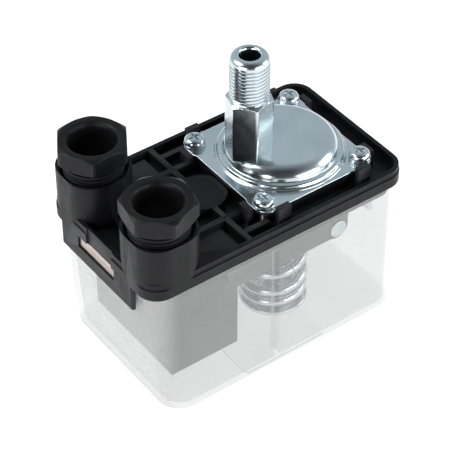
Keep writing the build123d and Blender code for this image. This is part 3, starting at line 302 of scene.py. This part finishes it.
def cad_bmesh(node):
    """A CAD node's mesh, its vertices merged."""
    bm = bmesh.new()
    bm.from_mesh(frame["nodes"][node].data)
    bmesh.ops.remove_doubles(bm, verts=bm.verts, dist=0.001 * MM)
    return bm


def modified(mesh, build):
    """The mesh after modifiers that build(obj) adds."""
    obj = bpy.data.objects.new(mesh.name, mesh)
    bpy.context.scene.collection.objects.link(obj)
    build(obj)
    depsgraph = bpy.context.evaluated_depsgraph_get()
    out = bpy.data.meshes.new_from_object(obj.evaluated_get(depsgraph))
    bpy.data.objects.remove(obj)
    return out


def shaded(mesh, angle=35.0):
    """Smooth shading that leaves large flat faces flat."""
    mesh.polygons.foreach_set("use_smooth", [True] * len(mesh.polygons))
    mesh.set_sharp_from_angle(angle=math.radians(angle))

    def build(obj):
        weighted = obj.modifiers.new("normals", "WEIGHTED_NORMAL")
        weighted.mode = "FACE_AREA"
        weighted.weight = 50
        weighted.keep_sharp = True
    return modified(mesh, build)


def stray_mm(mesh, original):
    """How far the mesh's furthest point lies from the original's surface."""
    bm = bmesh.new()
    bm.from_mesh(original)
    tree = BVHTree.FromBMesh(bm)
    bm.free()
    return max(tree.find_nearest(v.co)[3] for v in mesh.vertices) / MM


def bevelled(mesh, width, segments=2, angle=32.0):
    """Rounds the mesh's sharp edges, by less where the full width would leave its surface."""
    def build(obj):
        bevel = obj.modifiers.new("edges", "BEVEL")
        bevel.width = width * MM
        bevel.segments = segments
        bevel.limit_method = "ANGLE"
        bevel.angle_limit = math.radians(angle)
        bevel.use_clamp_overlap = False
        bevel.miter_outer = "MITER_ARC"
    for _ in range(4):
        out = modified(mesh, build)
        if stray_mm(out, mesh) < 0.8 * width:
            return out
        width /= 2
    return mesh


def cut(mesh, cutter):
    """The mesh with a second one taken out of it."""
    tool = bpy.data.objects.new("cutter", cutter)
    bpy.context.scene.collection.objects.link(tool)

    def build(obj):
        boolean = obj.modifiers.new("cut", "BOOLEAN")
        boolean.operation = "DIFFERENCE"
        boolean.solver = "EXACT"
        boolean.object = tool
    out = modified(mesh, build)
    bpy.data.objects.remove(tool)
    return out


def soften(node, width, segments):
    """Stands for a CAD node, its shape kept and its edges rounded as on the real piece."""
    bm = cad_bmesh(node)
    # flat faces are made whole again, so only real edges are rounded
    bmesh.ops.dissolve_limit(bm, angle_limit=math.radians(0.6), verts=bm.verts, edges=bm.edges)
    mesh = bevelled(to_mesh(bm, node), width, segments)
    return add_piece(f"{node}_soft", shaded(mesh), node)


def ring(x, y, radius, around, turn=0.0):
    """The points of one ring. Its radius may be a function of bearing."""
    for i in range(around):
        a = turn + TAU * i / around
        r = radius(a) if callable(radius) else radius
        yield x + r * math.cos(a), y + r * math.sin(a)


def skin(name, x, y, rows, segments=96, turn=0.0, hollow=False, gap=None):
    """A surface from stacked rings; a row is (radius or function of bearing, height).

    A hollow one closes its last ring on its first, a solid one closes on the axis.
    gap leaves the surface open above that ring.
    """
    points = [(*p, z) for radius, z in rows for p in ring(x, y, radius, segments, turn)]
    faces = []
    count = len(rows)
    for k in range(count if hollow else count - 1):
        low, high = k * segments, (k + 1) % count * segments
        for i in range(segments):
            j = (i + 1) % segments
            if k != gap:
                faces.append((low + i, low + j, high + j, high + i))
    if not hollow:
        faces.append(tuple(reversed(range(segments))))
        faces.append(tuple((count - 1) * segments + i for i in range(segments)))
    return mesh_from(name, points, faces)


def swept(name, points, around, steps):
    """A bar with flat ends from steps + 1 cross-sections of around points each."""
    faces = []
    for k in range(steps):
        for i in range(around):
            j = (i + 1) % around
            low, high = k * around, (k + 1) * around
            faces.append((low + i, low + j, high + j, high + i))
    faces += [tuple(range(around)), tuple(steps * around + i for i in range(around))]
    return mesh_from(name, points, faces)


def tube(name, path, radius, steps, around=14):
    """A round wire along path(t) for t from 0 to 1."""
    centres = [Vector(path(k / steps)) for k in range(steps + 1)]
    points = []
    for k, c in enumerate(centres):
        ahead = centres[min(k + 1, steps)] - centres[max(k - 1, 0)]
        out = ahead.cross(Vector((0, 0, 1))).normalized()
        up = out.cross(ahead).normalized()
        points += [c + u * out + v * up for u, v in ring(0, 0, radius, around)]
    return swept(name, points, around, steps)


def prism(name, points, sides):
    """A closed solid from its lower outline's points and then its upper outline's."""
    n = sides
    faces = [tuple(reversed(range(n))), tuple(range(n, 2 * n))]
    faces += [(i, (i + 1) % n, n + (i + 1) % n, n + i) for i in range(n)]
    return mesh_from(name, points, faces)


def slab(name, x0, x1, y0, y1, z0, z1, draft=0.0):
    """A box, its lower face smaller by draft on each side."""
    d = draft
    low = [(x0 + d, y0 + d), (x1 - d, y0 + d), (x1 - d, y1 - d), (x0 + d, y1 - d)]
    high = [(x0, y0), (x1, y0), (x1, y1), (x0, y1)]
    points = [(*p, z0) for p in low] + [(*p, z1) for p in high]
    return prism(name, points, 4)


def hexagonal(across_flats, normal, limit=1e9):
    """Radius of a hexagon at a bearing, its corners a little rounded and cut off at limit."""
    flat = across_flats / 2
    corner = flat / math.cos(math.radians(30)) * 0.988

    def radius(a):
        off = (a - math.radians(normal) + math.radians(30)) % math.radians(60) - math.radians(30)
        return min(flat / math.cos(off), corner, limit)
    return radius


def hex_rows(across_flats, normal, z0, z1, cut_low, cut_high):
    """Rings of a hexagonal prism whose ends are turned to a 30 degree cone."""
    flat = across_flats / 2
    slope = math.tan(math.radians(60))
    reach = (flat / math.cos(math.radians(30)) - flat) / slope
    cone = [reach * s for s in (0.0, 0.25, 0.5, 0.75, 1.0)]
    low, high = [(hexagonal(across_flats, normal), z0)], [(hexagonal(across_flats, normal), z1)]
    if cut_low:
        low = [(hexagonal(across_flats, normal, flat + s * slope), z0 + s) for s in cone]
    if cut_high:
        high = [(hexagonal(across_flats, normal, flat + s * slope), z1 - s) for s in reversed(cone)]
    return low + high


# one turn of a thread: share of the pitch, and 1 on the crest or 0 in the root
THREAD_FORM = ((0.0, 0), (0.2, 1), (0.64, 1), (0.84, 0))


def threaded_skin(name, x, y, before, thread, after, segments=96, turn=0.0, hollow=False):
    """A skin with a right-hand thread between two groups of rings.

    thread is crest radius, root radius, pitch, first and last height, and run-out length.
    """
    crest, root, pitch, z0, z1, runout = thread
    rows = before + [(crest, z0), (crest, z1)] + after
    body = skin(name, x, y, rows, segments, turn, hollow, gap=len(before))
    form = len(THREAD_FORM)
    turns = math.ceil((z1 - z0) / pitch) + 1
    heights = [(n + share) * pitch for n in range(-1, turns) for share, _ in THREAD_FORM]
    points = []
    for k, height in enumerate(heights):
        for i in range(segments):
            z = min(max(z0 + height + pitch * i / segments, z0), z1)
            depth = min(1.0, (z - z0) / runout, (z1 - z) / runout)
            r = crest - (crest - root) * (0.0 if THREAD_FORM[k % form][1] else depth)
            a = turn + TAU * i / segments
            points.append((x + r * math.cos(a), y + r * math.sin(a), z))
    faces = []
    for k in range(len(heights) - 1):
        low, high = k * segments, (k + 1) * segments
        for i in range(segments - 1):
            faces.append((low + i, low + i + 1, high + i + 1, high + i))
        # the last column meets the first one a whole turn further up
        if k + 1 + form < len(heights):
            low_next, high_next = (k + form) * segments, (k + 1 + form) * segments
            faces.append((low + segments - 1, low_next, high_next, high + segments - 1))
    return joined(name, [body, mesh_from("thread", points, faces)], sewn=True)


# ---------------------------------------------------------------- nipple
def nipple():
    """Hexagonal nipple with a spigot in the dome, a groove, and a pipe thread up to its tip."""
    spigot, flats, crest, bore = 5.0, 14.0, 6.58, 3.25
    foot, tip = NIPPLE_LO[2], NIPPLE_HI[2]
    rows = [(spigot, foot), (spigot, DOME_TOP)]
    rows += hex_rows(flats, NIPPLE_TURN, DOME_TOP, HEX_TOP, False, True)
    rows += [(6.2, HEX_TOP), (5.95, HEX_TOP + 0.2), (5.95, HEX_TOP + 0.5), (6.2, HEX_TOP + 0.75)]
    end = [
        (6.54, tip - 1.9), (6.4, tip - 1.45), (6.15, tip - 1.0), (5.8, tip - 0.6),
        (5.4, tip - 0.3), (4.95, tip - 0.1), (4.5, tip), (4.1, tip), (3.85, tip - 0.08),
        (3.6, tip - 0.3), (3.4, tip - 0.65), (bore, tip - 1.1), (bore, foot),
    ]
    thread = (crest, crest - 0.62, 1.337, HEX_TOP + 1.0, tip - 2.1, 0.5)
    turn = math.radians(NIPPLE_TURN)
    mesh = threaded_skin("nipple_turned", NIPPLE_X, 0, rows, thread, end, 120, turn, True)
    add_piece("nipple_turned", shaded(mesh, 28), "pressure_nipple")


# ---------------------------------------------------------------- dome and flange
# radius and height above the plate, from the dome's flat top round to its flat top again
DOME_PROFILE = (
    (14.0, 4.9), (16.4, 4.8), (17.3, 4.2), (17.58, 3.4), (17.58, -0.7), (22.1, -0.7),
    (22.1, 0.05), (22.0, 0.28), (21.7, 0.45), (21.35, 0.6), (21.15, 0.85), (21.08, 1.2),
    (20.9, 1.55), (20.55, 1.72), (20.1, 1.76), (19.75, 1.82), (19.5, 1.95), (19.38, 2.2),
    (19.3, 2.6), (19.16, 3.15), (18.94, 3.65), (18.63, 4.1), (18.24, 4.6), (17.79, 5.05),
    (17.27, 5.45), (16.69, 5.78), (16.06, 6.05), (15.41, 6.24), (14.74, 6.36), (14.04, DOME_HEIGHT),
)


def flange():
    """Pressed plate with an ear round each screw, and the drawn dome on it."""
    x0, x1 = FLANGE_LO[0], FLANGE_HI[0]
    mid_x, half = (x0 + x1) / 2, (x1 - x0) / 2
    ear, inset, ear_len, thick = 5.2, 0.55, 9.2, 1.5
    # one quarter of the outline, from the +X side round to the +Y side
    quarter = [(half - inset, 0), (half - inset, half - ear_len - 1.0), (half, half - ear_len + 0.4)]
    for k in range(11):
        a = math.radians(9 * k)
        quarter.append((half - ear + ear * math.cos(a), half - ear + ear * math.sin(a)))
    quarter += [(half - ear_len + 0.4, half), (half - ear_len - 1.0, half - inset)]
    outline = []
    for c, s in ((1, 0), (0, 1), (-1, 0), (0, -1)):
        outline += [(mid_x + c * u - s * v, s * u + c * v) for u, v in quarter]
    points = [(*p, z) for z in (FLANGE_TOP - thick, FLANGE_TOP) for p in outline]
    plate = bevelled(prism("plate", points, len(outline)), 0.3, 3, 40)
    dome = skin("dome", DOME_X, 0, [(r, FLANGE_TOP + h) for r, h in DOME_PROFILE], 128)
    add_piece("dome_flange", shaded(joined("dome_flange", [plate, dome]), 50), "flange_plate")


# ---------------------------------------------------------------- screws and washers
# a pan head's outline: shares of its radius and of its height
PAN_HEAD = (
    (0.94, 0.0), (1.0, 0.1), (1.0, 0.32), (0.965, 0.52), (0.88, 0.7), (0.73, 0.85), (0.5, 0.95),
    (0.22, 1.0),
)


def screw_mesh(x, y, seat, end, shank, head, height):
    """Pan head with a cross recess, on a threaded shank."""
    tip = [(shank * 0.7, end), (shank * 0.95, end + 0.5)]
    rows = [(head * r, seat + height * h) for r, h in PAN_HEAD]
    thread = (shank, shank - 0.3, 0.7, end + 0.7, seat - 0.2, 0.3)
    mesh = threaded_skin("screw", x, y, tip, thread, rows, 48)
    top, deep = seat + height, height * 0.4
    reach, half = head * 0.62, head * 0.13
    for dx, dy in ((reach, half), (half, reach)):
        mesh = cut(mesh, slab("tool", x - dx, x + dx, y - dy, y + dy, top - deep, top + 0.6, 0.16))
    return mesh


def screw_centres(node):
    """Centres of the separate screws that share one node."""
    bm = cad_bmesh(node)
    left = set(bm.verts)
    centres = []
    while left:
        stack = [next(iter(left))]
        group = set()
        while stack:
            v = stack.pop()
            if v in group:
                continue
            group.add(v)
            stack += [e.other_vert(v) for e in v.link_edges]
        left -= group
        xs = [v.co.x / MM for v in group]
        ys = [v.co.y / MM for v in group]
        centres.append(((min(xs) + max(xs)) / 2, (min(ys) + max(ys)) / 2))
    bm.free()
    return sorted(centres)


def deck_screws(name, node, shank, head, height):
    lo, hi = box_mm(node)
    seat = hi[2] - height
    parts = [screw_mesh(x, y, seat, lo[2], shank, head, height) for x, y in screw_centres(node)]
    add_piece(name, shaded(bevelled(joined(name, parts), 0.07, 2, 50), 40), node)


def lock_washers():
    """Split spring washers, their ends a little apart and cut at a slant."""
    lo, hi = box_mm("flange_lock_washers")
    z0, z1 = lo[2], hi[2]
    inner, outer, steps = 2.25, 3.65, 60
    gap, slant = math.radians(10), 0.12
    section = [
        (inner, z0 + 0.08), (inner + 0.1, z0), (outer - 0.15, z0), (outer, z0 + 0.15),
        (outer, z1 - 0.15), (outer - 0.15, z1), (inner + 0.1, z1), (inner, z1 - 0.08),
    ]
    parts = []
    for n, (x, y) in enumerate(screw_centres("flange_screws")):
        start = math.radians(70 + 95 * n)
        points = []
        for k in range(steps + 1):
            a = start + gap + (TAU - 2 * gap) * k / steps
            for r, z in section:
                lean = (z - z0) * slant
                points.append((x + r * math.cos(a + lean), y + r * math.sin(a + lean), z))
        parts.append(swept("washer", points, len(section), steps))
    washers = shaded(joined("lock_washers_split", parts), 40)
    add_piece("lock_washers_split", washers, "flange_lock_washers")


# ---------------------------------------------------------------- cable glands
def gland_screw(side, x, y, normal):
    """Hollow hexagonal screw, its mouth flared and its shank threaded."""
    node = f"gland_screw_{side}"
    lo, hi = box_mm(node)
    foot, top, hole, flats = lo[2], hi[2], 7.65, 22.0
    hex_z = top - 6.6
    rows = [(9.5, foot), (9.75, foot + 0.3), (10.0, foot + 0.6)]
    head = hex_rows(flats, normal, hex_z, top, True, True) + [
        (10.7, top - 0.02), (9.7, top), (9.1, top - 0.03), (8.6, top - 0.2), (8.2, top - 0.55),
        (7.9, top - 1.05), (7.72, top - 1.7), (hole, top - 2.4), (hole, foot),
    ]
    thread = (10.0, 9.42, 1.5, foot + 4.0, hex_z - 0.15, 0.8)
    mesh = threaded_skin(node, x, y, rows, thread, head, 120, math.radians(normal), True)
    add_piece(f"{node}_turned", shaded(mesh, 30), node)


def gland_seal(side, x, y):
    """Rubber sleeve under the pressure ring, a little barrelled inside."""
    node = f"gland_seal_{side}"
    lo, hi = box_mm(node)
    z0, z1, hole, barrel = lo[2], hi[2], 7.0, 0.3
    rows = [(9.9, z0), (10.0, z0 + 0.3), (10.0, z1 - 0.3), (9.9, z1), (7.2, z1)]
    for k in range(11):
        r = hole + barrel * (1 - math.cos(TAU * k / 10)) / 2
        rows.append((r, z1 - (z1 - z0) * (0.05 + 0.09 * k)))
    seal = skin(f"seal_{side}", x, y, rows + [(7.2, z0)], 72, hollow=True)
    piece = add_piece(f"{node}_sleeve", shaded(seal, 35), node)
    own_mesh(piece)


def gland(side, normal):
    x, y, _ = centre_mm(f"gland_ring_{side}")
    gland_screw(side, x, y, normal)
    gland_seal(side, x, y)


# ---------------------------------------------------------------- springs and studs
def coil(name, x, y, z0, z1, turns, radius, wire, flat, steps, part=(0.0, 1.0), around=14):
    """A coil whose ends close by the share flat. part is the share of its length that is made."""
    def path(t):
        s = part[0] + (part[1] - part[0]) * t
        rise = s - flat * math.sin(TAU * s) / TAU
        a = TAU * turns * s
        return x + radius * math.cos(a), y + radius * math.sin(a), z0 + (z1 - z0) * rise
    return tube(name, path, wire, steps, around)


def adjusting_spring(node, turns, radius, wire, seat_joint, seat_travel):
    """A spring made in two halves, a lower and an upper, both on the spring's own body."""
    lo, hi = box_mm(node)
    x, y, mid = centre_mm(node)
    lever_drop = (LEVER_ARM + radius + wire) * LEVER_SWING
    for half, part, joint, travel in (
        ("lower", (0.0, 0.5), seat_joint, seat_travel),
        ("upper", (0.5, 1.0), "lever_swing", lever_drop),
    ):
        steps = int(turns * 0.5 * 40)
        mesh = coil(
            f"{node}_wire", x, y, lo[2] + wire, hi[2] - wire, turns, radius, wire, 0.55, steps, part,
        )
        piece = add_piece(f"{node}_{half}", shaded(mesh, 50), node)
        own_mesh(piece)


def return_springs():
    """The two small springs that lift the contact carrier."""
    lo, hi = box_mm("return_springs")
    x = (lo[0] + hi[0]) / 2
    radius, wire = 1.6, 0.3
    parts = []
    for y in (lo[1] + radius + wire, hi[1] - radius - wire):
        parts.append(coil(
            "return_wire", x, y, lo[2] + wire, hi[2] - wire, 8, radius, wire, 0.5, 240, around=8,
        ))
    springs = shaded(joined("return_springs_wire", parts), 50)
    piece = add_piece("return_springs_wire", springs, "return_springs")
    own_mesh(piece)


def setting_stud(node, crest, pitch, reach):
    """A stud with a rolled thread over its lower part."""
    lo, hi = box_mm(node)
    x, y, _ = centre_mm(node)
    foot = lo[2]
    rows = [(crest * 0.72, foot), (crest * 0.9, foot + 0.5)]
    thread = (crest, crest - pitch * 0.5, pitch, foot + 0.6, foot + reach, 0.4)
    mesh = threaded_skin(node, x, y, rows, thread, [(crest, hi[2])], 48)
    add_piece(f"{node}_threaded", shaded(mesh, 30), node)


# ---------------------------------------------------------------- all the pieces
nipple()
flange()
deck_screws("flange_screws_turned", "flange_screws", 2.0, 3.5, 2.4)
deck_screws("block_screws_turned", "block_screws", 1.6, 3.0, 1.8)
lock_washers()
gland("near", GLAND_NEAR_TURN)
gland("far", GLAND_FAR_TURN)
adjusting_spring("range_spring", 5.5, 9.9, 1.8, "range_seat_slide", RANGE_TRAVEL)
adjusting_spring(
    "differential_spring", 7.5, 5.2, 0.8, "differential_seat_slide", DIFFERENTIAL_TRAVEL,
)
return_springs()
setting_stud("range_stud", 3.0, 1.0, 22.0)
setting_stud("differential_stud", 2.0, 0.7, 14.0)

# width in millimetres and steps of each rounded edge
SOFT_EDGES = {
    "base_housing": (0.3, 3), "clear_cover": (0.35, 3), "cover_clip": (0.1, 2),
    "contact_block": (0.4, 3), "lever": (0.3, 3), "mounting_frame": (0.25, 2),
    "contact_carrier": (0.25, 2), "range_seat": (0.3, 3), "differential_seat": (0.2, 2),
    "range_nut": (0.2, 2), "differential_nut": (0.15, 2), "terminal_strips": (0.15, 2),
    "terminal_clamps": (0.15, 2), "terminal_screws": (0.2, 2), "moving_contacts": (0.15, 2),
    "earth_screw": (0.25, 3), "earth_clamp": (0.2, 2), "pivot_pin": (0.25, 3),
    "pivot_retainer": (0.1, 2), "piston": (0.3, 2), "gland_ring_near": (0.2, 2),
    "gland_ring_far": (0.2, 2), "diaphragm": (0.2, 2),
}
for node, (width, segments) in SOFT_EDGES.items():
    soften(node, width, segments)

# every CAD node carries its finish too, shown or not
for node, obj in frame["nodes"].items():
    for slot in obj.material_slots:
        slot.material = MATERIALS[SLOT[node]]


# ---------------------------------------------------------------- floor, light and camera
def glowing(name, low, high, rough, glow):
    """A pale surface that lights itself, so that it stays even and white."""
    material, tree, shader = node_tree(name)
    tree.links.new(ramp(tree, noise(tree, 6), low, high), shader.inputs["Base Color"])
    shader.inputs["Roughness"].default_value = rough
    shader.inputs["Emission Color"].default_value = (1, 1, 1, 1)
    shader.inputs["Emission Strength"].default_value = glow
    return material


FLOOR = 6.0
floor_mesh = bpy.data.meshes.new("floor")
floor_mesh.from_pydata(
    [(-FLOOR, -FLOOR, 0), (FLOOR, -FLOOR, 0), (FLOOR, FLOOR, 0), (-FLOOR, FLOOR, 0)],
    [], [(0, 1, 2, 3)],
)
floor_mesh.materials.append(glowing("floor", (0.13, 0.13, 0.13), (0.15, 0.15, 0.15), 0.8, 1.1))
floor = bpy.data.objects.new("floor", floor_mesh)
bpy.context.scene.collection.objects.link(floor)
floor.location.z = -0.0002


def soft_light(name, place, size, power):
    """A rectangular light that faces the middle of the object."""
    data = bpy.data.lights.new(name, "AREA")
    data.shape = "RECTANGLE"
    data.size, data.size_y = size
    data.energy = power
    light = bpy.data.objects.new(name, data)
    bpy.context.scene.collection.objects.link(light)
    light.location = place
    aim = Vector((0.0, 0.0, 0.05)) - Vector(place)
    light.rotation_euler = aim.to_track_quat("-Z", "Y").to_euler()


soft_light("key", (-0.55, 0.35, 0.75), (0.5, 0.5), 4.4)
soft_light("right", (0.85, -0.5, 0.4), (0.4, 0.5), 3.0)
soft_light("low_left", (-0.85, -0.25, 0.25), (0.6, 0.35), 4.0)
soft_light("low_front", (0.25, -0.9, 0.25), (0.6, 0.35), 5.0)

# the room is bright beyond the object and overhead, and dim behind the camera
BACK = Vector((-0.4431, -0.6017, 0.6645)).normalized()
world = bpy.data.worlds.new("studio")
bpy.context.scene.world = world
world.use_nodes = True
sky = world.node_tree
direction = sky.nodes.new("ShaderNodeTexCoord")
towards = sky.nodes.new("ShaderNodeVectorMath")
towards.operation = "DOT_PRODUCT"
towards.inputs[1].default_value = BACK
sky.links.new(direction.outputs["Generated"], towards.inputs[0])
shade = ramp(sky, towards.outputs["Value"], (0.50, 0.56, 0.60), (0.05, 0.05, 0.055), (0.25, 0.92))
background = sky.nodes["Background"]
sky.links.new(shade, background.inputs["Color"])
background.inputs["Strength"].default_value = 1.0

AIM = Vector((0.00158, 0.00466, 0.0354))
DISTANCE = 0.63942
camera_data = bpy.data.cameras.new("camera")
camera_data.sensor_width = 36.0
camera_data.lens = 151.3
camera_data.clip_start, camera_data.clip_end = 0.05, 20.0
camera = bpy.data.objects.new("camera", camera_data)
bpy.context.scene.collection.objects.link(camera)
facing = (-BACK).to_track_quat("-Z", "Y").to_matrix().to_4x4()
camera.matrix_world = Matrix.Translation(AIM + BACK * DISTANCE) @ facing
bpy.context.scene.camera = camera
bpy.context.scene.view_settings.view_transform = "Standard"
